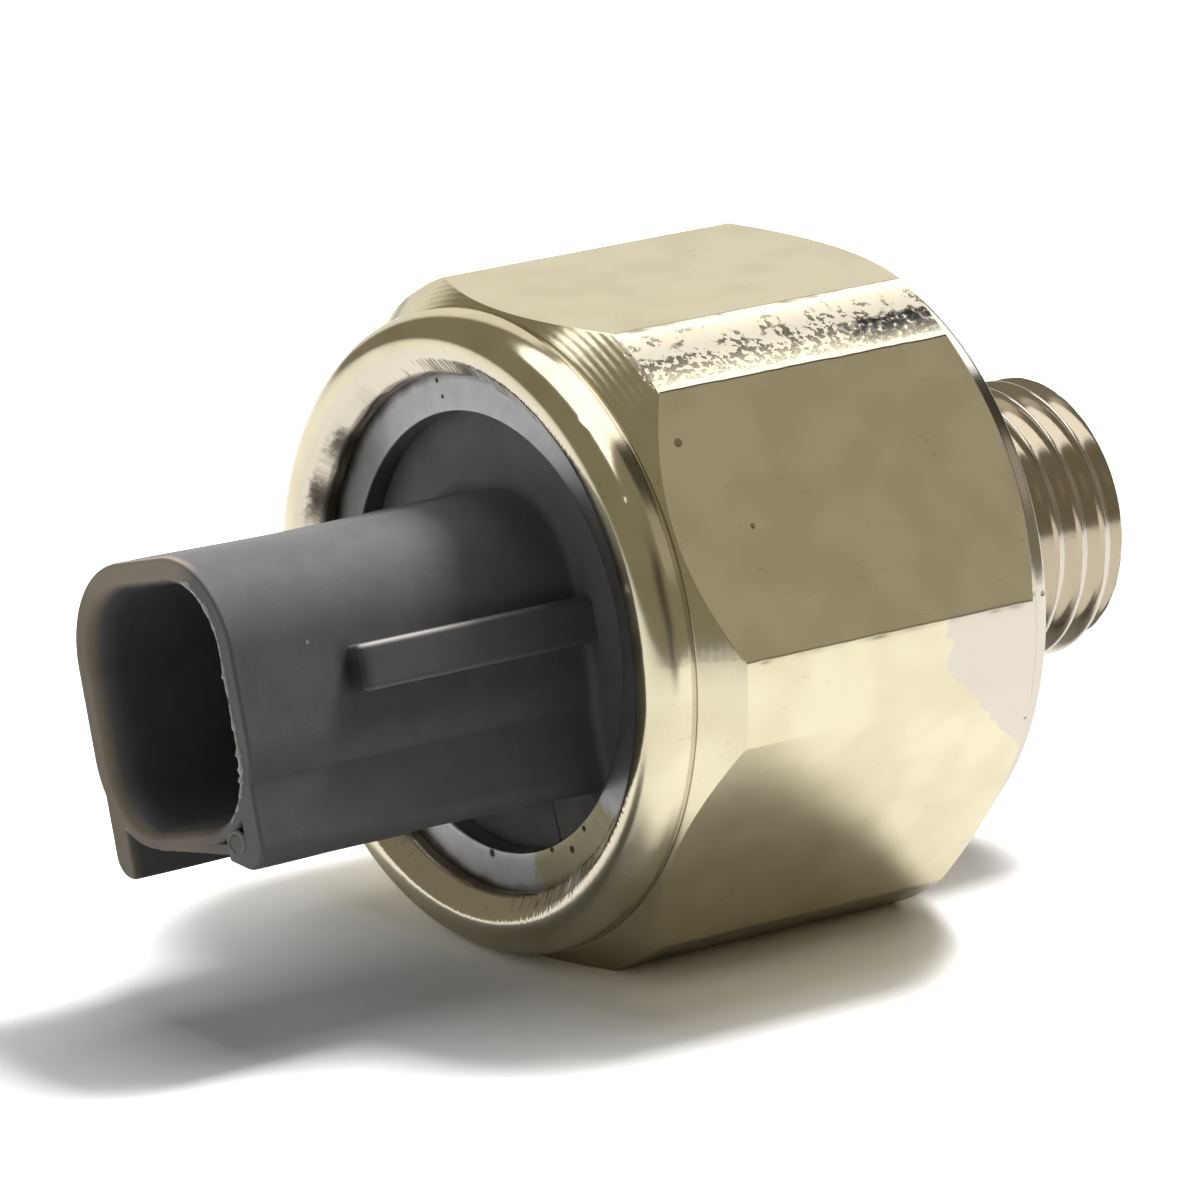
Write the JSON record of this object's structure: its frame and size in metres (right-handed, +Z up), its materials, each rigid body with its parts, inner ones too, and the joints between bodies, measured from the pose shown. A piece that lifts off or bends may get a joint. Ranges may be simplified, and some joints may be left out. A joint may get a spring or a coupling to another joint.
{
  "type": "knock sensor",
  "caption": "Screw-in piezo knock sensor: plated hexagonal body with a crimped collar, threaded stud and a moulded one-way connector.",
  "frame": {"origin": "on the sensor's axis, in the plane of the seat ring that meets the engine block", "axes": "+X along the axis, out of the free end of the stud; the connector points to -X; +Z up, square to a flat of the hexagon"},
  "size_m": [0.0458, 0.0294, 0.027],
  "materials": {
    "plated_steel": "yellow-passivated zinc plate, satin",
    "ring_steel": "bare stamped steel",
    "connector_plastic": "moulded glass-filled plastic, matte",
    "tinned_brass": "tinned strip",
    "sealing_resin": "poured epoxy",
    "seal_rubber": "moulded",
    "sleeve_steel": "drawn tube",
    "base_steel": "turned",
    "spring_steel": "rolled strip",
    "adhesive": "cured film",
    "silver": "fired silver paste",
    "piezo_ceramic": "fired ceramic",
    "solder": "bright bead",
    "copper_wire": "drawn wire",
    "tinned_wire": "tinned wire",
    "cap_metal": "nickel plated",
    "resistor_coat": "lacquered ceramic rod"
  },
  "bodies": {
    "root": {"hex_housing": "plated_steel", "clamp_ring": "ring_steel", "connector_body": "connector_plastic", "terminal": "tinned_brass", "terminal_seal": "sealing_resin", "o_ring": "seal_rubber", "clamp_sleeve": "sleeve_steel", "base_plate": "base_steel", "vibration_plate": "spring_steel", "bond_film": "adhesive", "lower_electrode": "silver", "piezo_disc": "piezo_ceramic", "upper_electrode": "silver", "element_solder": "solder", "lead_wire": "copper_wire", "lead_solder": "solder", "resistor_solder": "solder", "resistor_lead_signal": "tinned_wire", "resistor_cap_signal": "cap_metal", "resistor_body": "resistor_coat", "resistor_cap_ground": "cap_metal", "resistor_lead_ground": "tinned_wire", "ground_solder": "solder"}
  },
  "joints": []
}
